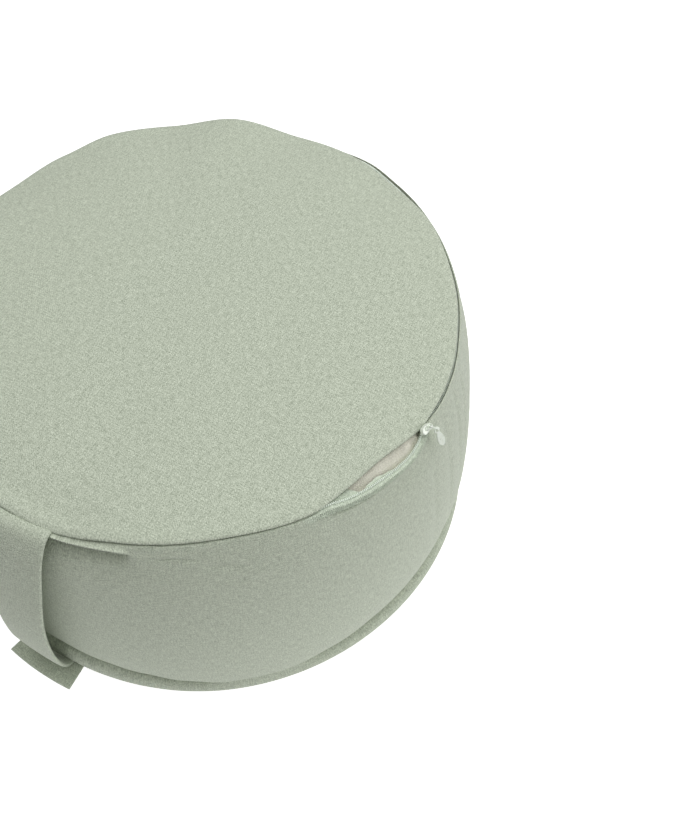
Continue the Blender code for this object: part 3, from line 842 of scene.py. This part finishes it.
def coil_line(start, end, out, up, per_turn):
    """The winding of the coil along part of the seam. It rides up where the far side gapes."""
    pitch = math.degrees(TEETH_PITCH / TOP_RADIUS)
    points = []
    for azimuth in lip_azimuths(start, end, pitch / per_turn):
        angle = 2 * math.pi * azimuth / pitch
        slip = 3.6 * far_gape(azimuth)
        points.append(lip_spot(
            azimuth, out - slip + COIL_RADIUS * math.cos(angle),
            up + 1.3 * slip + COIL_RADIUS * math.sin(angle)))
    return points


def make_zip_coil():
    """The coil of teeth along the band's edge of the opening."""
    line = coil_line(COIL_START, COIL_END, -1.0, 1.25, 8)
    return ribbon("zip_teeth", line, COIL_WIRE * MM, resolution=1)


def make_zip_chain():
    """The closed part of the zip, which shows in the seam where it gapes on the far side."""
    line = coil_line(CHAIN_START, CHAIN_END, -1.3, -1.6, 6)
    return ribbon("zip_chain", line, COIL_WIRE * MM, resolution=1)


def make_zip_flap():
    """The loose inner edge of the tape, which waves up inside the lip."""
    shares = [step / 8 for step in range(9)]

    def place(azimuth, share):
        low = ease((azimuth + 22.6) / 4.6) * ease((-13.0 - azimuth) / 6.0)
        left = ease((-22.3 - azimuth) / 2.6)
        wave = 0.25 * math.sin(azimuth * 2.4)
        reach = (0.5 + 2.3 * low + 6.5 * left + wave) * min(1.0, opening(azimuth) * 5)
        up = -0.3 + (1.0 + 0.6 * low + 1.2 * left) * share * (2.0 - share) - 0.4 * left * share**2
        return lip_spot(azimuth, -1.3 - reach * share, up)

    return cloth(
        "zip_flap", lip_azimuths(FLAP_START, FLAP_END, 0.25), shares, place,
        lambda azimuth, share: (math.radians(azimuth) * TOP_RADIUS * MM, share * 3 * MM))


def placement(origin, along, face):
    """Placement with its X along one direction and its Z nearly along another."""
    z = (face - along * face.dot(along)).normalized()
    y = z.cross(along)
    return Matrix.Translation(origin) @ Matrix((along, y, z)).transposed().to_4x4()


def toward(along, out, up):
    """Unit direction at the slider, from its shares along the seam, outward and up."""
    outward = at(SLIDER_AZIMUTH, 1.0, 0.0).normalized()
    direction = Vector((-outward.y, outward.x, 0.0)) * along + outward * out + Vector((0, 0, up))
    return direction.normalized()


def slider_frame():
    """Placement of the slider: X runs along the seam off the opening, Z looks out of its face."""
    lean = math.radians(SLIDER_LEAN)
    face = toward(0.0, math.cos(lean), math.sin(lean))
    outward = around(SEAM_ROWS, SLIDER_AZIMUTH, "outward")
    seam = at(SLIDER_AZIMUTH, 165.3 + outward, 174.9 + around(SEAM_ROWS, SLIDER_AZIMUTH, "lift"))
    return placement(seam + face * (SLIDER_THICK / 2 + SLIDER_OFF) * MM, toward(1, 0, 0), face)


def link_frame():
    """Placement of the link's centre: X points along the link, away from the bridge."""
    fall, swing = math.radians(LINK_FALL), math.radians(LINK_SWING)
    reach = toward(
        math.cos(fall) * math.sin(swing), math.cos(fall) * math.cos(swing), -math.sin(fall))
    arch_top = slider_frame() @ (Vector((BRIDGE_AHEAD, 0, SLIDER_THICK / 2 + BRIDGE_RISE)) * MM)
    centre = arch_top + reach * (LINK_LENGTH / 2 - 2 * LINK_WIRE - BRIDGE_WIRE - GAP) * MM
    return placement(centre, reach, toward(1, 0, 0))


def link_point(angle):
    """A point of the middle line of the link's wire, in its own plane."""
    length = LINK_LENGTH / 2 - LINK_WIRE
    width = LINK_WIDTH / 2 - LINK_WIRE
    return Vector((length * math.cos(angle), width * math.sin(angle), 0.0)) * MM


def make_slider():
    """The slider: a rounded shield that narrows away from the opening; make_bridge adds its bridge."""
    form = bmesh.new()
    size = (SLIDER_LENGTH * MM, SLIDER_WIDTH * MM, SLIDER_THICK * MM)
    bmesh.ops.create_cube(form, size=1.0, matrix=Matrix.Diagonal((*size, 1.0)))
    bmesh.ops.subdivide_edges(form, edges=form.edges[:], cuts=3, use_grid_fill=True)
    for corner in form.verts:
        along, across = 2 * corner.co.x / size[0], 2 * corner.co.y / size[1]
        narrow = 1.0 - 0.16 * (along + 1.0)
        corner.co.x *= math.sqrt(1.0 - 0.42 * across**2)
        corner.co.y *= math.sqrt(1.0 - 0.42 * along**2) * narrow
        if corner.co.z > 0:
            corner.co.z += (0.3 - 0.2 * hump(math.hypot(along, across), 0.4)) * MM
    piece = weld(form, "slider")
    piece.matrix_world = slider_frame()
    smooth = piece.modifiers.new("rounded", "SUBSURF")
    smooth.levels = smooth.render_levels = 2
    return piece


def make_bridge():
    """The arch on the slider that carries the link."""
    arch = []
    for step in range(17):
        angle = math.pi * step / 16
        rise = (BRIDGE_RISE + 0.4) * math.sin(angle) - 0.4
        along = BRIDGE_AHEAD - BRIDGE_SPAN / 2 * math.cos(angle)
        arch.append(slider_frame() @ (Vector((along, 0.0, SLIDER_THICK / 2 + rise)) * MM))
    return ribbon("slider_bridge", arch, BRIDGE_WIRE * MM)


def make_link():
    """The oval wire link between the bridge and the drop."""
    place = link_frame()
    line = [place @ link_point(2 * math.pi * step / 36) for step in range(36)]
    return ribbon("pull_link", line, LINK_WIRE * MM, closed=True)


def drop_outline(shrink):
    """Outline of the drop in its own plane, its eye at the origin and its length along +X."""
    eye = []
    for step in range(13):
        angle = math.radians(70 + 220 / 12 * step)
        eye.append(((EYE_RADIUS - shrink) * math.cos(angle), (EYE_RADIUS - shrink) * math.sin(angle)))
    side = []
    length = DROP_LENGTH - 2 * EYE_RADIUS
    for step in range(20):
        share = step / 20
        swell = math.sin(math.pi * share**1.25) ** 0.62
        width = DROP_NECK + (DROP_WIDTH / 2 - DROP_NECK) * swell
        if share > 0.6:
            width = DROP_WIDTH / 2 * math.sqrt(1 - ((share - 0.6) / 0.4) ** 2)
        side.append((EYE_RADIUS + length * share * (1 - shrink / length), width - shrink))
    tip = [(EYE_RADIUS + length - shrink, 0.0)]
    return eye + [(x, -y) for x, y in side] + tip + side[::-1]


def make_drop():
    """The drop-shaped pull, with rounded rims."""
    curve = bpy.data.curves.new("pull_drop", "CURVE")
    curve.dimensions = "2D"
    curve.fill_mode = "BOTH"
    curve.extrude = (DROP_THICK / 2 - DROP_ROUND) * MM
    curve.bevel_depth = DROP_ROUND * MM
    curve.bevel_resolution = 3
    hole = []
    for step in range(16):
        angle = math.radians(22.5 * step)
        hole.append(((EYE_HOLE + 0.2) * math.cos(angle), (EYE_HOLE + 0.2) * math.sin(angle)))
    for outline in (drop_outline(0.2), hole):
        trace(curve, [(x * MM, y * MM, 0.0) for x, y in outline], True)
    piece = bpy.data.objects.new("pull_drop", curve)
    bpy.context.scene.collection.objects.link(piece)
    ring = [link_frame() @ link_point(math.radians(step)) for step in range(0, 360, 3)]
    low = min(ring, key=lambda point: point.z)
    down = toward(
        math.tan(math.radians(DROP_SWING)), math.tan(math.radians(DROP_LEAN)), -1.0)
    eye = low + down * (EYE_HOLE - LINK_WIRE - GAP) * MM
    piece.matrix_world = placement(eye, down, toward(-0.25, 1, 0.5))
    return piece


# Finishes

def linear(colour):
    """An sRGB hex colour as the linear values that Blender wants."""
    parts = [int(colour[at_digit:at_digit + 2], 16) / 255 for at_digit in (1, 3, 5)]
    return (*[
        part / 12.92 if part <= 0.04045 else ((part + 0.055) / 1.055) ** 2.4 for part in parts], 1.0)


def new_finish(name):
    """An empty material of this name and its tree."""
    made = bpy.data.materials.new(name)
    made.use_nodes = True
    made.node_tree.nodes.clear()
    return made, made.node_tree


def add(tree, kind, settings=None, sockets=None):
    """A new node with its settings, its sockets linked to outputs or set to values."""
    made = tree.nodes.new(kind)
    for name, value in (settings or {}).items():
        setattr(made, name, value)
    for name, value in (sockets or {}).items():
        if isinstance(value, bpy.types.NodeSocket):
            tree.links.new(value, made.inputs[name])
        else:
            made.inputs[name].default_value = value
    return made


WAVE_STEP = math.pi / 10  # length of one wave of Blender's wave texture at scale 1


def woven(name, light, dark, pitch, slub, bump, roughness, sheen):
    """A plain-woven cloth, by the pitch of its yarn and the length of its thick places in mm."""
    made, tree = new_finish(name)
    thread = add(tree, "ShaderNodeUVMap", {"uv_map": "thread"}).outputs["UV"]
    scale = WAVE_STEP / (2 * pitch * MM)
    warp = add(tree, "ShaderNodeTexWave", {"bands_direction": "X"}, {
        "Vector": thread, "Scale": scale, "Distortion": 0.0}).outputs["Fac"]
    weft = add(tree, "ShaderNodeTexWave", {"bands_direction": "Y"}, {
        "Vector": thread, "Scale": scale, "Distortion": 0.0}).outputs["Fac"]
    over = add(tree, "ShaderNodeMath", {"operation": "MULTIPLY"}, {0: warp, 1: weft}).outputs[0]
    sum_both = add(tree, "ShaderNodeMath", {"operation": "ADD"}, {0: warp, 1: weft}).outputs[0]
    weave = add(tree, "ShaderNodeMath", {"operation": "MULTIPLY_ADD"}, {
        0: over, 1: 2.0, 2: 1.0}).outputs[0]
    weave = add(tree, "ShaderNodeMath", {"operation": "SUBTRACT"}, {
        0: weave, 1: sum_both}).outputs[0]

    def streaks(across, along):
        stretched = add(tree, "ShaderNodeMapping", {}, {
            "Vector": thread, "Scale": (across, along, 1.0)}).outputs["Vector"]
        return add(tree, "ShaderNodeTexNoise", {}, {
            "Vector": stretched, "Scale": 1.0, "Detail": 2.0, "Roughness": 0.6}).outputs["Fac"]

    upright = streaks(1.0 / (pitch * 1.1 * MM), 1.0 / (slub * MM))
    level = streaks(1.0 / (slub * MM), 1.0 / (pitch * 1.1 * MM))
    grain = add(tree, "ShaderNodeMix", {"data_type": "FLOAT"}, {
        "Factor": weave, "A": upright, "B": level}).outputs["Result"]
    fuzz = streaks(1.0 / (pitch * MM), 1.0 / (pitch * MM))
    mixed = add(tree, "ShaderNodeMath", {"operation": "ADD"}, {0: grain, 1: fuzz}).outputs[0]
    heather = add(tree, "ShaderNodeMapRange", {}, {
        "Value": mixed, "From Min": 0.75, "From Max": 1.25}).outputs["Result"]
    colour = add(tree, "ShaderNodeMix", {"data_type": "RGBA"}, {
        "Factor": heather, "A": linear(dark), "B": linear(light)}).outputs["Result"]
    height = add(tree, "ShaderNodeMath", {"operation": "ADD"}, {0: weave, 1: mixed}).outputs[0]
    relief = add(tree, "ShaderNodeBump", {}, {
        "Height": height, "Distance": bump * MM, "Strength": 1.0}).outputs["Normal"]
    cloth_shader = add(tree, "ShaderNodeBsdfPrincipled", {}, {
        "Base Color": colour, "Roughness": roughness, "Normal": relief,
        "Specular IOR Level": 0.15, "Sheen Weight": sheen, "Sheen Roughness": 0.6})
    add(tree, "ShaderNodeOutputMaterial", {}, {"Surface": cloth_shader.outputs["BSDF"]})
    return made


def lacquered_metal(name, colour, worn):
    """Die-cast zinc under a thin pale lacquer, rubbed a little at random places."""
    made, tree = new_finish(name)
    place = add(tree, "ShaderNodeTexCoord").outputs["Object"]
    cloud = add(tree, "ShaderNodeTexNoise", {}, {
        "Vector": place, "Scale": 700.0, "Detail": 3.0}).outputs["Fac"]
    rub = add(tree, "ShaderNodeMapRange", {}, {
        "Value": cloud, "From Min": 0.4, "From Max": 0.9}).outputs["Result"]
    tint = add(tree, "ShaderNodeMix", {"data_type": "RGBA"}, {
        "Factor": rub, "A": linear(colour), "B": linear(worn)}).outputs["Result"]
    haze = add(tree, "ShaderNodeMapRange", {}, {
        "Value": cloud, "To Min": 0.22, "To Max": 0.38}).outputs["Result"]
    metal = add(tree, "ShaderNodeBsdfPrincipled", {}, {
        "Base Color": tint, "Metallic": 0.2, "Roughness": haze, "Coat Weight": 0.4})
    add(tree, "ShaderNodeOutputMaterial", {}, {"Surface": metal.outputs["BSDF"]})
    return made


def coil_nylon(name, colour, dark):
    """Nylon wire of the zip's teeth, moulded smooth, which gives a bright thin line."""
    made, tree = new_finish(name)
    place = add(tree, "ShaderNodeTexCoord").outputs["Object"]
    cloud = add(tree, "ShaderNodeTexNoise", {}, {
        "Vector": place, "Scale": 400.0, "Detail": 2.0}).outputs["Fac"]
    tint = add(tree, "ShaderNodeMix", {"data_type": "RGBA"}, {
        "Factor": cloud, "A": linear(dark), "B": linear(colour)}).outputs["Result"]
    nylon = add(tree, "ShaderNodeBsdfPrincipled", {}, {
        "Base Color": tint, "Roughness": 0.35})
    add(tree, "ShaderNodeOutputMaterial", {}, {"Surface": nylon.outputs["BSDF"]})
    return made


# Heathered sage canvas: matt, with pale and dark threads that cross. Its yarn is drawn at 0.8 mm,
# coarser than real yarn of about 0.5 mm, so that it shows at the photo's size. So are the others.
canvas = woven("cotton_canvas", "#D6DECB", "#99A28F", 0.8, 5.0, 0.12, 0.95, 0.25)
# Undyed casing cloth: a warm pale strip in the open zip
calico = woven("raw_calico", "#EDEBDD", "#CDCBBC", 0.7, 4.0, 0.1, 0.95, 0.05)
# Polyester tape, flat inside the lip and ribbed over it: paler and cooler than the canvas
tape_weave = woven("woven_tape", "#E2ECDB", "#BBC7B3", 0.7, 3.0, 0.1, 0.85, 0.1)
ribbed_tape = woven("ribbed_tape", "#E0EAD8", "#A6B19E", 0.7, 3.0, 0.1, 0.85, 0.1)
# Teeth: one bright thin line along the lip
teeth_nylon = coil_nylon("moulded_nylon", "#F4FBF1", "#E0ECDC")
# Slider, link and pull: pale mint, with soft highlights
zinc = lacquered_metal("lacquered_zinc", "#E8F0E2", "#F4F8F1")

# Pieces
band = make_band()
top = make_top()
base = make_base()
casing = make_casing()
strap = make_strap()
tab = make_tab()
hem = make_zip_hem()
teeth = make_zip_coil()
chain = make_zip_chain()
flap = make_zip_flap()
slider = make_slider()
bridge = make_bridge()
link = make_link()
drop = make_drop()

for piece in (band, top, base, strap, tab):
    piece.data.materials.append(canvas)
casing.data.materials.append(calico)
for piece, finish in ((hem, ribbed_tape), (flap, tape_weave)):
    piece.data.materials.append(finish)
for piece in (teeth, chain):
    piece.data.materials.append(teeth_nylon)
for piece in (slider, bridge, link, drop):
    piece.data.materials.append(zinc)
for piece in (band, top, base, casing, strap, tab, hem, teeth, chain, flap, slider, bridge, link, drop):
    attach(piece, "root")

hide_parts("side_band")
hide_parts("top_panel")
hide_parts("bottom_panel")
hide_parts("inner_cushion")
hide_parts("handle_strap")
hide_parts("foot_tab")
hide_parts("zip_tape")
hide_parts("zip_coil")
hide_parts("zip_slider")
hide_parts("zip_link")
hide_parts("zip_pull")

# Floor, light and camera
CAMERA_TURN = math.radians(28.5)
CAMERA_TILT = 0.96561535  # radians below level
CAMERA_PLACE = Vector((0.09927, -0.40339, 0.63372))  # before the turn
FOCAL_PIXELS = 1000.0
FRAME_HEIGHT_PIXELS = 840.0
SWEEP_START = 1.8


def make_floor(name, height, pale, bright, glow, size=4.0, sweep=0.0):
    """A sheet of pale paper that may give off light. A sweep bends it up past SWEEP_START."""
    form = bmesh.new()
    bmesh.ops.create_grid(form, x_segments=40, y_segments=40, size=size)
    for corner in form.verts:
        corner.co.z = sweep * max(0.0, corner.co.length - SWEEP_START) ** 2
    floor = weld(form, name)
    floor.location = (0, 0, height * MM)
    made, tree = new_finish(name + "_stock")
    place = add(tree, "ShaderNodeTexCoord").outputs["Object"]
    fibre = add(tree, "ShaderNodeTexNoise", {}, {"Vector": place, "Scale": 300.0}).outputs["Fac"]
    tone = add(tree, "ShaderNodeMix", {"data_type": "RGBA"}, {
        "Factor": fibre, "A": linear(pale), "B": linear(bright)}).outputs["Result"]
    paper = add(tree, "ShaderNodeBsdfPrincipled", {}, {
        "Base Color": tone, "Roughness": 1.0, "Specular IOR Level": 0.0,
        "Emission Color": (1, 1, 1, 1), "Emission Strength": glow})
    add(tree, "ShaderNodeOutputMaterial", {}, {"Surface": paper.outputs["BSDF"]})
    floor.data.materials.append(made)
    return floor


def make_softbox(name, place, aim, size, watts):
    """A square soft light that looks at a point."""
    lamp = bpy.data.lights.new(name, "AREA")
    lamp.shape = "SQUARE"
    lamp.size = size
    lamp.energy = watts
    box = bpy.data.objects.new(name, lamp)
    box.location = place
    box.rotation_euler = (Vector(place) - Vector(aim)).to_track_quat("Z", "Y").to_euler()
    bpy.context.scene.collection.objects.link(box)


def make_camera():
    """The photo's view, looking down from the front with the strap at the left."""
    spin = Matrix.Rotation(CAMERA_TURN, 3, "Z")
    ahead = spin @ Vector((0, math.cos(CAMERA_TILT), -math.sin(CAMERA_TILT)))
    upward = spin @ Vector((0, math.sin(CAMERA_TILT), math.cos(CAMERA_TILT)))
    right = ahead.cross(upward)
    lens = bpy.data.cameras.new("camera")
    lens.sensor_width = 36.0
    lens.lens = FOCAL_PIXELS / FRAME_HEIGHT_PIXELS * lens.sensor_width
    eye = bpy.data.objects.new("camera", lens)
    facing = Matrix((right, upward, -ahead)).transposed().to_4x4()
    eye.matrix_world = Matrix.Translation(spin @ CAMERA_PLACE) @ facing
    bpy.context.scene.collection.objects.link(eye)
    bpy.context.scene.camera = eye


# The two cards light the sides from below, and the floor is the white that the photo shows
far_card = make_floor("far_card", -0.9, "#D8D8D8", "#DEDEDE", 0.0)
far_card.visible_camera = False
near_card = make_floor("near_card", -0.7, "#D8D8D8", "#DEDEDE", 0.52, size=0.38)
near_card.visible_camera = False
seen_floor = make_floor("seen_floor", -0.4, "#BEBEBE", "#C4C4C4", 0.9, sweep=1.2)
seen_floor.visible_diffuse = False
seen_floor.visible_glossy = False
seen_floor.visible_shadow = False
make_softbox("overhead", (0.1, 0.25, 1.9), (0, 0, 0.1), 2.0, 33.0)
make_softbox("right_side", (1.8, 0.6, 0.7), (0, 0, 0.1), 1.2, 10.0)
make_softbox("low_left", (-1.0, -1.5, 0.35), (0, 0, 0.05), 1.0, 2.6)
make_softbox("low_right", (1.0, -1.5, 0.35), (0, 0, 0.05), 1.0, 2.2)
world = bpy.data.worlds.new("white_studio")
world.use_nodes = True
world.node_tree.nodes["Background"].inputs["Color"].default_value = (1, 1, 1, 1)
world.node_tree.nodes["Background"].inputs["Strength"].default_value = 0.13
bpy.context.scene.world = world
bpy.context.scene.view_settings.view_transform = "Standard"
bpy.context.scene.view_settings.look = "None"
make_camera()
